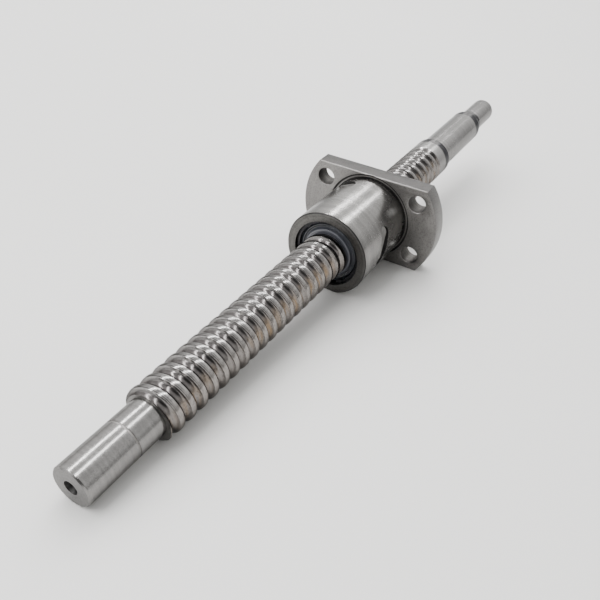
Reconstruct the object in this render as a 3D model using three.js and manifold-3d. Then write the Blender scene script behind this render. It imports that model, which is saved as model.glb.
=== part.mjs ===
// A rolled ball screw with machined ends and a single-flange nut.
// Millimetres. The screw axis lies along X, with the supported end at -X.
// The flange flats face up and down.
import * as THREE from 'three';
import { mergeVertices } from 'three/addons/utils/BufferGeometryUtils.js';
import Module from 'manifold-3d';

const wasm = await Module();
wasm.setup();

// ---- Thread and balls ----
const LEAD = 4;
const THREAD_RADIUS = 6.85;
const BALL_RADIUS = 1.19;
const BALL_CIRCLE_RADIUS = 7;
const SCREW_GROOVE_RADIUS = 1.42;
const NUT_GROOVE_RADIUS = 1.5;
const NUT_BORE_RADIUS = 7.2;
const THREAD_SEGMENTS = 16;
const ROUND_SEGMENTS = 40;

// ---- Screw shaft, measured from its middle ----
const SHAFT_HALF_LENGTH = 115.5;
const FRONT_JOURNAL_RADIUS = 5;
const REAR_SEAT_RADIUS = 6;
const DRIVE_END_RADIUS = 4.5;
const END_CHAMFER = 0.5;
const RING_GROOVE_X = -101.5;
const RING_GROOVE_WIDTH = 0.5;
const RING_GROOVE_DEPTH = 0.2;
const THREAD_START_X = -93.8;
const THREAD_END_X = 51.8;
const THREAD_START_CHAMFER = 0.6;
// The threaded rod runs this far into the plain land behind it, and its lands lie this far below it.
const THREAD_OVERLAP = 0.4;
const LAND_RELIEF = 0.01;
const LAND_END_X = 60.2;
const REAR_SEAT_X = 61;
const REAR_SEAT_END_X = 94.6;
const DRIVE_END_X = 98.4;
const CORE_RADIUS = 5.2;
// Cutting and trimming shapes reach this far past the faces they cut.
const CUT_MARGIN = 0.2;
const CENTRE_HOLE_RADIUS = 1.75;
const CENTRE_PILOT_RADIUS = 0.8;
const CENTRE_CONE_DEPTH = 1.65;
const CENTRE_HOLE_DEPTH = 3.5;

// ---- Nut ----
const NUT_RADIUS = 13;
const NUT_FRONT_X = -18.3;
const FLANGE_FRONT_X = 8.3;
const FLANGE_THICKNESS = 5.5;
const NUT_REAR_X = FLANGE_FRONT_X + FLANGE_THICKNESS;
const FLANGE_RADIUS = 23;
const FLANGE_HALF_FLATS = 14;
const BOLT_CIRCLE_RADIUS = 18;
const BOLT_HOLE_RADIUS = 2.75;
const BOLT_ANGLE = THREE.MathUtils.degToRad(30);
const EDGE_BREAK = 0.4;
const RELIEF_WIDTH = 2.2;
const RELIEF_RADIUS = 12.5;
const RELIEF_FACE_RADIUS = 13.95;
const RELIEF_FACE_DEPTH = 0.35;

// ---- Wiper seats, the same at both ends of the nut ----
const SEAT_RADIUS = 10.2;
const SEAT_DEPTH = 3.4;
const SNAP_GROOVE_RADIUS = 10.9;
const SNAP_GROOVE_INSET = 0.7;
const SNAP_GROOVE_WIDTH = 1.1;
const SNAP_RING_OUTER = 10.6;
const SNAP_RING_INNER = 9.3;
const SNAP_RING_THICKNESS = 0.7;
const SNAP_RING_GAP = THREE.MathUtils.degToRad(24);
const WIPER_OUTER = 9.9;
const WIPER_BORE = 7.15;
const WIPER_LIP_OUTER = 8.5;
const WIPER_LIP_THICKNESS = 0.5;
const WIPER_INSET = 2.1;
const WIPER_LIP_INSET = 0.9;
const SEAT_GAP = 0.3;

// ---- Ball circuits: the deflector of each stands over one land of the thread ----
const CIRCUIT_ANGLES = [174, 294, 54].map(THREE.MathUtils.degToRad);
const FIRST_CIRCUIT_X = -6.67;
const CIRCUIT_STEP = LEAD * 4 / 3;
const BALLS_PER_CIRCUIT = 16;
const CROSSING_HALF_ANGLE = THREE.MathUtils.degToRad(34);
const CROSSING_LIFT = 1.22;
// Shares of a crossing in which the balls rise, start to move back, and move back by one lead.
const CROSSING_RISE = 0.3;
const CROSSING_SHIFT_START = 0.15;
const CROSSING_SHIFT = 0.7;
const POCKET_SLANT = THREE.MathUtils.degToRad(24);
const POCKET_HALF_WIDTH = 2;
const POCKET_HALF_LENGTH = 5.8;
const POCKET_CLEARANCE = 0.25;
const DEFLECTOR_FLOOR = 9.8;
const DEFLECTOR_TOP_RADIUS = 12.6;

// ---- Finishes ----
const ROLLED_STEEL = { color: 0xa9a6a2, roughness: 0.32, metalness: 1 };
const GROUND_STEEL = { color: 0xb9b7b4, roughness: 0.28, metalness: 1 };
const BALL_STEEL = { color: 0xd8d8d8, roughness: 0.08, metalness: 1 };
const SPRING_STEEL = { color: 0x3b3a3c, roughness: 0.4, metalness: 1 };
const WIPER_PLASTIC = { color: 0x1a1d28, roughness: 0.45, metalness: 0 };
const DEFLECTOR_STEEL = { color: 0x8f8d8a, roughness: 0.4, metalness: 1 };

// ---- Helpers ----

// A closed three.js geometry as a manifold solid.
function solid(geometry) {
  const bare = geometry.clone();
  bare.deleteAttribute('normal');
  bare.deleteAttribute('uv');
  const merged = mergeVertices(bare, 1e-5);
  const mesh = new wasm.Mesh({
    numProp: 3,
    vertProperties: new Float32Array(merged.attributes.position.array),
    triVerts: new Uint32Array(merged.index.array),
  });
  return new wasm.Manifold(mesh);
}

// A manifold solid as a three.js geometry.
function geometryOf(body) {
  const mesh = body.getMesh();
  const geometry = new THREE.BufferGeometry();
  geometry.setAttribute('position', new THREE.BufferAttribute(new Float32Array(mesh.vertProperties), 3));
  geometry.setIndex(new THREE.BufferAttribute(new Uint32Array(mesh.triVerts), 1));
  return geometry;
}

// A solid turned about X from a list of [x, radius] corners.
function turned(corners, segments = ROUND_SEGMENTS) {
  const points = corners.map(([x, radius]) => new THREE.Vector2(radius, x));
  const geometry = new THREE.LatheGeometry(points, segments);
  geometry.rotateZ(-Math.PI / 2);
  return solid(geometry);
}

// A plain ring turned about X.
function ring(fromX, toX, inner, outer) {
  return turned([[fromX, inner], [fromX, outer], [toX, outer], [toX, inner], [fromX, inner]]);
}

// A shape drawn in the YZ plane, as [y, z], and pushed along +X from fromX.
function pushedAlongX(shape, fromX, depth, bevel = 0) {
  const geometry = new THREE.ExtrudeGeometry(shape, {
    depth: depth - 2 * bevel,
    bevelEnabled: bevel > 0,
    bevelSize: bevel,
    bevelThickness: bevel,
    bevelOffset: -bevel,
    bevelSegments: 1,
    curveSegments: ROUND_SEGMENTS / 4,
  });
  const axes = new THREE.Matrix4().makeBasis(
    new THREE.Vector3(0, 1, 0),
    new THREE.Vector3(0, 0, 1),
    new THREE.Vector3(1, 0, 0),
  );
  geometry.applyMatrix4(axes);
  geometry.translate(fromX + bevel, 0, 0);
  return solid(geometry);
}

// One lead of thread, from one edge of its groove to the other, as [x, radius].
// The land's middle is at x = 0 and the groove is an arc about the ball circle.
// side is -1 where it cuts inwards, as on the screw, and 1 in the nut.
function threadProfile(landRadius, grooveRadius, side) {
  const edge = Math.acos(side * (landRadius - BALL_CIRCLE_RADIUS) / grooveRadius);
  const arcSteps = 4;
  const profile = [];
  for (let step = 0; step <= arcSteps; step += 1) {
    const angle = edge * (2 * step / arcSteps - 1);
    const x = LEAD / 2 + grooveRadius * Math.sin(angle);
    profile.push([x, BALL_CIRCLE_RADIUS + side * grooveRadius * Math.cos(angle)]);
  }
  return profile;
}

// A right-hand threaded rod from at least fromX to toX, with ragged ends that are trimmed afterwards.
// The middle of the land crosses +Y at landX.
function threadedRod(profile, landX, fromX, toX) {
  const firstX = landX + LEAD * (Math.floor((fromX - landX) / LEAD) - 2);
  const turns = Math.ceil((toX - firstX) / LEAD) + 1;
  const perLead = profile.length;
  const length = turns * perLead;
  const positions = [];
  const columns = [];
  for (let column = 0; column < THREAD_SEGMENTS; column += 1) {
    const turn = column / THREAD_SEGMENTS;
    const angle = turn * 2 * Math.PI;
    const count = column === 0 ? length + perLead : length;
    columns.push(positions.length / 3);
    for (let k = 0; k <= count; k += 1) {
      const [offset, radius] = profile[k % perLead];
      const x = firstX + LEAD * (Math.floor(k / perLead) + turn) + offset;
      positions.push(x, radius * Math.cos(angle), radius * Math.sin(angle));
    }
  }
  // The last column is the first one, a lead further on.
  const at = (column, k) => (column === THREAD_SEGMENTS ? columns[0] + k + perLead : columns[column] + k);
  const faces = [];
  for (let column = 0; column < THREAD_SEGMENTS; column += 1) {
    for (let k = 0; k < length; k += 1) {
      faces.push(at(column, k), at(column, k + 1), at(column + 1, k + 1));
      faces.push(at(column, k), at(column + 1, k + 1), at(column + 1, k));
    }
  }
  for (const [k, flip] of [[0, false], [length, true]]) {
    const loop = [];
    for (let column = 0; column < THREAD_SEGMENTS; column += 1) loop.push(at(column, k));
    for (let back = perLead; back > 0; back -= 1) loop.push(at(0, k + back));
    const centre = positions.length / 3;
    positions.push(firstX + LEAD * (k / perLead + 0.5) + profile[0][0], 0, 0);
    loop.forEach((corner, index) => {
      const next = loop[(index + 1) % loop.length];
      faces.push(centre, flip ? next : corner, flip ? corner : next);
    });
  }
  const geometry = new THREE.BufferGeometry();
  geometry.setAttribute('position', new THREE.Float32BufferAttribute(positions, 3));
  geometry.setIndex(faces.reverse());
  return solid(geometry);
}

// The land of the screw thread crosses +Y here: it passes under the first deflector.
const LAND_X = FIRST_CIRCUIT_X - LEAD * CIRCUIT_ANGLES[0] / (2 * Math.PI);

// ---- Screw shaft ----

// The corners of a drilled centre, from its floor on the axis to its rim. into is 1 where +X leads inwards.
function centreHole(endX, into) {
  return [
    [endX + into * CENTRE_HOLE_DEPTH, 0],
    [endX + into * (CENTRE_HOLE_DEPTH - CENTRE_PILOT_RADIUS / 2), CENTRE_PILOT_RADIUS],
    [endX + into * CENTRE_CONE_DEPTH, CENTRE_PILOT_RADIUS],
    [endX, CENTRE_HOLE_RADIUS],
  ];
}

function turnedShaft() {
  const grooveFrom = RING_GROOVE_X - RING_GROOVE_WIDTH / 2;
  const grooveTo = RING_GROOVE_X + RING_GROOVE_WIDTH / 2;
  const grooveRadius = FRONT_JOURNAL_RADIUS - RING_GROOVE_DEPTH;
  const insideThread = THREAD_START_X + 1;
  return turned([
    ...centreHole(-SHAFT_HALF_LENGTH, 1),
    [-SHAFT_HALF_LENGTH, FRONT_JOURNAL_RADIUS - END_CHAMFER],
    [-SHAFT_HALF_LENGTH + END_CHAMFER, FRONT_JOURNAL_RADIUS],
    [grooveFrom, FRONT_JOURNAL_RADIUS],
    [grooveFrom, grooveRadius],
    [grooveTo, grooveRadius],
    [grooveTo, FRONT_JOURNAL_RADIUS],
    [insideThread, FRONT_JOURNAL_RADIUS],
    [insideThread, CORE_RADIUS],
    [THREAD_END_X, CORE_RADIUS],
    [THREAD_END_X, THREAD_RADIUS],
    [LAND_END_X, THREAD_RADIUS],
    [REAR_SEAT_X, REAR_SEAT_RADIUS],
    [REAR_SEAT_END_X, REAR_SEAT_RADIUS],
    [DRIVE_END_X, DRIVE_END_RADIUS],
    [SHAFT_HALF_LENGTH - END_CHAMFER, DRIVE_END_RADIUS],
    [SHAFT_HALF_LENGTH, DRIVE_END_RADIUS - END_CHAMFER],
    ...centreHole(SHAFT_HALF_LENGTH, -1).reverse(),
  ]);
}

function screwShaft() {
  const profile = threadProfile(THREAD_RADIUS - LAND_RELIEF, SCREW_GROOVE_RADIUS, -1);
  const rod = threadedRod(profile, LAND_X, THREAD_START_X, THREAD_END_X);
  const blank = turned([
    [THREAD_START_X, 0],
    [THREAD_START_X, THREAD_RADIUS - THREAD_START_CHAMFER],
    [THREAD_START_X + THREAD_START_CHAMFER + CUT_MARGIN, THREAD_RADIUS + CUT_MARGIN],
    [THREAD_END_X + THREAD_OVERLAP, THREAD_RADIUS + CUT_MARGIN],
    [THREAD_END_X + THREAD_OVERLAP, 0],
  ]);
  return turnedShaft().add(rod.intersect(blank));
}

// ---- Nut ----

function flangeOutline() {
  const corner = Math.asin(FLANGE_HALF_FLATS / FLANGE_RADIUS);
  const outline = new THREE.Shape();
  outline.absarc(0, 0, FLANGE_RADIUS, -corner, corner, false);
  outline.absarc(0, 0, FLANGE_RADIUS, Math.PI - corner, Math.PI + corner, false);
  outline.closePath();
  const middle = new THREE.Path();
  middle.absarc(0, 0, (NUT_RADIUS + SNAP_GROOVE_RADIUS) / 2, 0, 2 * Math.PI, true);
  outline.holes.push(middle);
  for (const across of [-1, 1]) {
    for (const up of [-1, 1]) {
      const y = across * BOLT_CIRCLE_RADIUS * Math.cos(BOLT_ANGLE);
      const z = up * BOLT_CIRCLE_RADIUS * Math.sin(BOLT_ANGLE);
      const hole = new THREE.Path();
      hole.absarc(y, z, BOLT_HOLE_RADIUS, 0, 2 * Math.PI, true);
      outline.holes.push(hole);
    }
  }
  return outline;
}

// The corners of one wiper seat with its snap-ring groove. into is 1 where +X leads into the nut.
function wiperSeat(faceX, into) {
  const grooveFrom = faceX + into * SNAP_GROOVE_INSET;
  const grooveTo = grooveFrom + into * SNAP_GROOVE_WIDTH;
  return [
    [faceX + into * SEAT_DEPTH, CORE_RADIUS],
    [faceX + into * SEAT_DEPTH, SEAT_RADIUS],
    [grooveTo, SEAT_RADIUS],
    [grooveTo, SNAP_GROOVE_RADIUS],
    [grooveFrom, SNAP_GROOVE_RADIUS],
    [grooveFrom, SEAT_RADIUS],
    [faceX, SEAT_RADIUS],
  ];
}

// The nut as turned, before its threaded bore is opened out.
function turnedNut() {
  const corners = [
    ...wiperSeat(NUT_FRONT_X, 1),
    [NUT_FRONT_X, NUT_RADIUS - EDGE_BREAK],
    [NUT_FRONT_X + EDGE_BREAK, NUT_RADIUS],
    [NUT_REAR_X - EDGE_BREAK, NUT_RADIUS],
    [NUT_REAR_X, NUT_RADIUS - EDGE_BREAK],
    ...wiperSeat(NUT_REAR_X, -1).reverse(),
  ];
  return turned([...corners, corners[0]]);
}

// An obround prism that stands on the screw axis at a circuit's deflector, from one height to another.
function pocketBlock(circuit, halfWidth, halfLength, fromHeight, toHeight) {
  const straight = halfLength - halfWidth;
  const outline = new THREE.Shape();
  outline.absarc(straight, 0, halfWidth, -Math.PI / 2, Math.PI / 2, false);
  outline.absarc(-straight, 0, halfWidth, Math.PI / 2, 3 * Math.PI / 2, false);
  outline.closePath();
  const geometry = new THREE.ExtrudeGeometry(outline, {
    depth: toHeight - fromHeight,
    bevelEnabled: false,
    curveSegments: 10,
  });
  const angle = CIRCUIT_ANGLES[circuit];
  const outwards = new THREE.Vector3(0, Math.cos(angle), Math.sin(angle));
  const around = new THREE.Vector3(0, -Math.sin(angle), Math.cos(angle));
  const along = around.multiplyScalar(Math.cos(POCKET_SLANT));
  along.x = -Math.sin(POCKET_SLANT);
  const across = new THREE.Vector3().crossVectors(outwards, along);
  geometry.translate(0, 0, fromHeight);
  geometry.applyMatrix4(new THREE.Matrix4().makeBasis(along, across, outwards));
  geometry.translate(circuitX(circuit), 0, 0);
  return solid(geometry);
}

function circuitX(circuit) {
  return FIRST_CIRCUIT_X + circuit * CIRCUIT_STEP;
}

function nutBody() {
  const flange = pushedAlongX(flangeOutline(), FLANGE_FRONT_X, FLANGE_THICKNESS, EDGE_BREAK);
  const reliefFrom = FLANGE_FRONT_X - RELIEF_WIDTH;
  const reliefTo = FLANGE_FRONT_X + RELIEF_FACE_DEPTH;
  const relief = ring(reliefFrom, reliefTo, RELIEF_RADIUS, RELIEF_FACE_RADIUS);
  const seatFloors = [NUT_FRONT_X + SEAT_DEPTH, NUT_REAR_X - SEAT_DEPTH];
  const profile = threadProfile(NUT_BORE_RADIUS, NUT_GROOVE_RADIUS, 1);
  const raceway = threadedRod(profile, LAND_X, seatFloors[0], seatFloors[1]);
  const reach = turned([
    [seatFloors[0] - CUT_MARGIN, 0],
    [seatFloors[0] - CUT_MARGIN, SEAT_RADIUS - CUT_MARGIN],
    [seatFloors[1] + CUT_MARGIN, SEAT_RADIUS - CUT_MARGIN],
    [seatFloors[1] + CUT_MARGIN, 0],
  ]);
  let body = turnedNut().add(flange).subtract(relief).subtract(raceway.intersect(reach));
  CIRCUIT_ANGLES.forEach((angle, circuit) => {
    const size = [POCKET_HALF_WIDTH, POCKET_HALF_LENGTH];
    body = body.subtract(pocketBlock(circuit, ...size, CORE_RADIUS, NUT_RADIUS + 1));
  });
  return body;
}

// The insert that carries the balls back over the land, set a little below the nut's surface.
function deflector(circuit) {
  const halfWidth = POCKET_HALF_WIDTH - POCKET_CLEARANCE;
  const halfLength = POCKET_HALF_LENGTH - POCKET_CLEARANCE;
  const block = pocketBlock(circuit, halfWidth, halfLength, DEFLECTOR_FLOOR, NUT_RADIUS);
  const envelope = turned([
    [NUT_FRONT_X, 0],
    [NUT_FRONT_X, DEFLECTOR_TOP_RADIUS],
    [NUT_REAR_X, DEFLECTOR_TOP_RADIUS],
    [NUT_REAR_X, 0],
  ]);
  return block.intersect(envelope);
}

// A wiper with its lip towards the nut's end face.
function wiper(faceX, into) {
  const back = faceX + into * (SEAT_DEPTH - SEAT_GAP);
  const front = faceX + into * WIPER_INSET;
  const lip = faceX + into * WIPER_LIP_INSET;
  const corners = [
    [back, WIPER_BORE],
    [back, WIPER_OUTER],
    [front, WIPER_OUTER],
    [front, WIPER_LIP_OUTER],
    [lip, WIPER_BORE + WIPER_LIP_THICKNESS],
    [lip, WIPER_BORE],
    [back, WIPER_BORE],
  ];
  return turned(into > 0 ? corners.reverse() : corners);
}

// An internal snap ring, open at the bottom.
function snapRing(faceX, into) {
  const middle = faceX + into * (SNAP_GROOVE_INSET + SNAP_GROOVE_WIDTH / 2);
  const from = -Math.PI / 2 + SNAP_RING_GAP;
  const to = 3 * Math.PI / 2 - SNAP_RING_GAP;
  const outline = new THREE.Shape();
  outline.absarc(0, 0, SNAP_RING_OUTER, from, to, false);
  outline.absarc(0, 0, SNAP_RING_INNER, to, from, true);
  outline.closePath();
  return pushedAlongX(outline, middle - SNAP_RING_THICKNESS / 2, SNAP_RING_THICKNESS);
}

// ---- Balls ----

function smooth(value) {
  const t = THREE.MathUtils.clamp(value, 0, 1);
  return t * t * (3 - 2 * t);
}

// A point on a circuit's closed path. turn runs from 0 to 1, starting just past the deflector.
function circuitPoint(circuit, turn) {
  const around = CROSSING_HALF_ANGLE + turn * 2 * Math.PI;
  const crossing = (around - 2 * Math.PI + CROSSING_HALF_ANGLE) / (2 * CROSSING_HALF_ANGLE);
  const lift = smooth(crossing / CROSSING_RISE) * smooth((1 - crossing) / CROSSING_RISE);
  const back = LEAD * smooth((crossing - CROSSING_SHIFT_START) / CROSSING_SHIFT);
  const radius = BALL_CIRCLE_RADIUS + CROSSING_LIFT * lift;
  const angle = CIRCUIT_ANGLES[circuit] + around;
  const x = circuitX(circuit) - LEAD / 2 + LEAD * around / (2 * Math.PI) - back;
  return new THREE.Vector3(x, radius * Math.cos(angle), radius * Math.sin(angle));
}

function ballGeometry() {
  const ball = new THREE.IcosahedronGeometry(BALL_RADIUS, 1);
  return mergeVertices(ball.deleteAttribute('normal').deleteAttribute('uv'));
}

// Ball centres, evenly spaced along the path.
function ballCentres(circuit) {
  const steps = 720;
  const points = [];
  for (let step = 0; step <= steps; step += 1) points.push(circuitPoint(circuit, step / steps));
  const path = new THREE.CatmullRomCurve3(points.slice(0, steps), true);
  path.arcLengthDivisions = steps;
  return path.getSpacedPoints(BALLS_PER_CIRCUIT).slice(0, BALLS_PER_CIRCUIT);
}

// ---- Assembly ----

const assembly = new THREE.Group();

function addMesh(name, geometry, finish) {
  const mesh = new THREE.Mesh(geometry, new THREE.MeshStandardMaterial(finish));
  mesh.name = name;
  assembly.add(mesh);
  return mesh;
}

addMesh('screw_shaft', geometryOf(screwShaft()), ROLLED_STEEL);
addMesh('nut_body', geometryOf(nutBody()), GROUND_STEEL);
addMesh('front_wiper', geometryOf(wiper(NUT_FRONT_X, 1)), WIPER_PLASTIC);
addMesh('rear_wiper', geometryOf(wiper(NUT_REAR_X, -1)), WIPER_PLASTIC);
addMesh('front_snap_ring', geometryOf(snapRing(NUT_FRONT_X, 1)), SPRING_STEEL);
addMesh('rear_snap_ring', geometryOf(snapRing(NUT_REAR_X, -1)), SPRING_STEEL);
CIRCUIT_ANGLES.forEach((angle, circuit) => {
  addMesh(`deflector_${circuit + 1}`, geometryOf(deflector(circuit)), DEFLECTOR_STEEL);
  ballCentres(circuit).forEach((centre, index) => {
    const number = String(index + 1).padStart(2, '0');
    const ball = addMesh(`ball_${circuit + 1}_${number}`, ballGeometry(), BALL_STEEL);
    ball.position.copy(centre);
  });
});

export default assembly;
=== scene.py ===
import math

import bmesh
import bpy
from mathutils import Matrix, Vector


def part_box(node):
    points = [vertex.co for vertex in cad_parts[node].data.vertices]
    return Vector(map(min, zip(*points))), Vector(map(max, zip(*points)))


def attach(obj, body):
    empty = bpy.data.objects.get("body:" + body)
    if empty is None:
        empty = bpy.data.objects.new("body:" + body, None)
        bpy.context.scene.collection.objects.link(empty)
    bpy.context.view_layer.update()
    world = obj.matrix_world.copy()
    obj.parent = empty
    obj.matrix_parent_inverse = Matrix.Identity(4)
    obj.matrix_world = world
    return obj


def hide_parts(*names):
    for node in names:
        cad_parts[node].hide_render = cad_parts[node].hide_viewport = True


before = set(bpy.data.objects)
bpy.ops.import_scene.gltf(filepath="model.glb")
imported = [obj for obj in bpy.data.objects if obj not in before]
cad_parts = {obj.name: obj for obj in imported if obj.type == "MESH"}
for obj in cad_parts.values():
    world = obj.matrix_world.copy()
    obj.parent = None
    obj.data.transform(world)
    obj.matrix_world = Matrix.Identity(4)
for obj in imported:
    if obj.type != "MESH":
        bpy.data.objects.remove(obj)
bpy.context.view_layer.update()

MM = 0.001

# ---- Sizes of the design, in millimetres, where the frame can't give them ----
LEAD = 4.0
BALL_CIRCLE_RADIUS = 7.0
BALL_RADIUS = 1.19
GROOVE_RADIUS = 1.27
LAND_ROUNDING = 0.28
LAND_EDGE_DROP = 0.1
THREAD_START_X = -93.8
THREAD_END_X = 51.8
THREAD_RUNOUT = 1.6
THREAD_START_CHAMFER = 0.6
FRONT_JOURNAL_RADIUS = 5.0
REAR_SEAT_RADIUS = 6.0
DRIVE_END_RADIUS = 4.5
END_CHAMFER = 0.35
RING_GROOVE_X = -101.5
RING_GROOVE_WIDTH = 0.5
RING_GROOVE_DEPTH = 0.2
LAND_END_X = 60.2
REAR_SEAT_X = 61.0
REAR_SEAT_END_X = 94.6
DRIVE_END_X = 98.4
CENTRE_HOLE_RADIUS = 1.75
CENTRE_PILOT_RADIUS = 0.8
CENTRE_CONE_DEPTH = 1.65
CENTRE_HOLE_DEPTH = 3.5

NUT_RADIUS = 13.0
NUT_BORE_RADIUS = 7.2
FLANGE_FRONT_X = 8.3
FLANGE_RADIUS = 23.0
FLANGE_HALF_FLATS = 14.0
FLANGE_EYE_RADIUS = 12.2
BOLT_CIRCLE_RADIUS = 18.0
BOLT_HOLE_RADIUS = 2.75
BOLT_ANGLE = math.radians(30)
NUT_CHAMFER = 0.35
NUT_REAR_CHAMFER_LENGTH = 0.4
NUT_REAR_CHAMFER_DEPTH = 0.1
RELIEF_WIDTH = 2.2
RELIEF_RADIUS = 12.5
RELIEF_SLOPE = 0.15
WIPER_SEAT_RADIUS = 10.2
WIPER_SEAT_DEPTH = 3.4
SNAP_GROOVE_RADIUS = 10.9
SNAP_GROOVE_INSET = 0.7
SNAP_GROOVE_WIDTH = 1.1
SNAP_RING_OUTER = 10.6
SNAP_RING_INNER = 9.3
SNAP_RING_THICKNESS = 0.7
SNAP_RING_GAP = math.radians(24)
WIPER_OUTER = 9.9
WIPER_BORE = 7.15
WIPER_CLEARANCE = 0.2
RELIEF_FACE_RADIUS = 13.95
RELIEF_FACE_DEPTH = 0.5
RECESS_RING_INNER = 12.9
RECESS_RING_OUTER = 13.35
CIRCUIT_ANGLES = [math.radians(angle) for angle in (174, 294, 54)]
FIRST_CIRCUIT_X = -6.67
CIRCUIT_STEP = LEAD * 4 / 3
POCKET_SLANT = math.radians(24)
POCKET_HALF_WIDTH = 2.0
POCKET_HALF_LENGTH = 5.8

# Faces round most turned surfaces, round the nut and round the thread.
ROUND_STEPS = 128
NUT_STEPS = 160
THREAD_STEPS = 96
# Surfaces that meet without sharing vertices run this far past one another.
HIDDEN_OVERLAP = 0.1
SHARP_ANGLE = math.radians(32)
# A rounding takes at most this share of a side, and leaves a nearly straight corner alone.
ROUNDING_STEPS = 3
ROUNDING_SHARE = 0.45
NEARLY_STRAIGHT = math.radians(172)
# Lengths in millimetres under this count as none.
TINY = 1e-4
# A face belongs to a surface that its middle is nearer to than this, in millimetres.
NEAR = 0.05
# Distances in metres under which two vertices are one.
WELD = 1e-6
FINE_WELD = 1e-7

_, shaft_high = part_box("screw_shaft")
nut_low, nut_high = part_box("nut_body")
SHAFT_END_X = shaft_high[0] / MM
THREAD_RADIUS = shaft_high[1] / MM
NUT_FRONT_X = nut_low[0] / MM
NUT_REAR_X = nut_high[0] / MM
# The middle of a land of the thread crosses +Y at this place.
LAND_X = FIRST_CIRCUIT_X - LEAD * CIRCUIT_ANGLES[0] / math.tau


# ---- Mesh helpers ----

def rounded(corners, radius, closed=False):
    """[x, r] corners with each inner corner replaced by a small arc-like curve."""
    out = []
    count = len(corners)
    for index, corner in enumerate(corners):
        if not closed and index in (0, count - 1):
            out.append(Vector(corner))
            continue
        here = Vector(corner)
        before = Vector(corners[index - 1]) - here
        after = Vector(corners[(index + 1) % count]) - here
        reach = min(radius, before.length * ROUNDING_SHARE, after.length * ROUNDING_SHARE)
        if reach < TINY or before.angle(after) > NEARLY_STRAIGHT:
            out.append(here)
            continue
        start = here + before.normalized() * reach
        end = here + after.normalized() * reach
        for step in range(ROUNDING_STEPS + 1):
            t = step / ROUNDING_STEPS
            out.append(start * (1 - t) ** 2 + here * 2 * t * (1 - t) + end * t ** 2)
    return out


def around_x(x, radius, angle):
    """A place in metres, from millimetres along X and off its axis, and an angle from +Y."""
    return Vector((x, radius * math.cos(angle), radius * math.sin(angle))) * MM


def add_turned(bm, profile, material=0, steps=ROUND_STEPS, closed=False):
    """Adds a surface turned about X from [x, r] points. A point on the axis becomes one vertex."""
    rings = []
    for x, radius in profile:
        count = 1 if radius < TINY else steps
        angles = [math.tau * i / count for i in range(count)]
        rings.append([bm.verts.new(around_x(x, radius, angle)) for angle in angles])
    for first, second in zip(rings, rings[1:] + rings[:1] if closed else rings[1:]):
        for i in range(steps):
            j = (i + 1) % steps
            corners = list(dict.fromkeys((
                first[i % len(first)],
                first[j % len(first)],
                second[j % len(second)],
                second[i % len(second)],
            )))
            if len(corners) > 2:
                bm.faces.new(corners).material_index = material


def finished_object(name, bm, materials, body=None, node_names=()):
    """Turns a bmesh into a shaded object. With a body, it rides on it and stands for CAD nodes."""
    bmesh.ops.recalc_face_normals(bm, faces=bm.faces)
    mesh = bpy.data.meshes.new(name)
    bm.to_mesh(mesh)
    bm.free()
    for material in materials:
        mesh.materials.append(material)
    obj = bpy.data.objects.new(name, mesh)
    bpy.context.scene.collection.objects.link(obj)
    mesh.shade_smooth()
    mesh.set_sharp_from_angle(angle=SHARP_ANGLE)
    if body:
        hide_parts(*node_names)
        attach(obj, body)
    return obj


# ---- Material helpers ----

RANGE_SOCKETS = ("From Min", "From Max", "To Min", "To Max")


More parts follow.
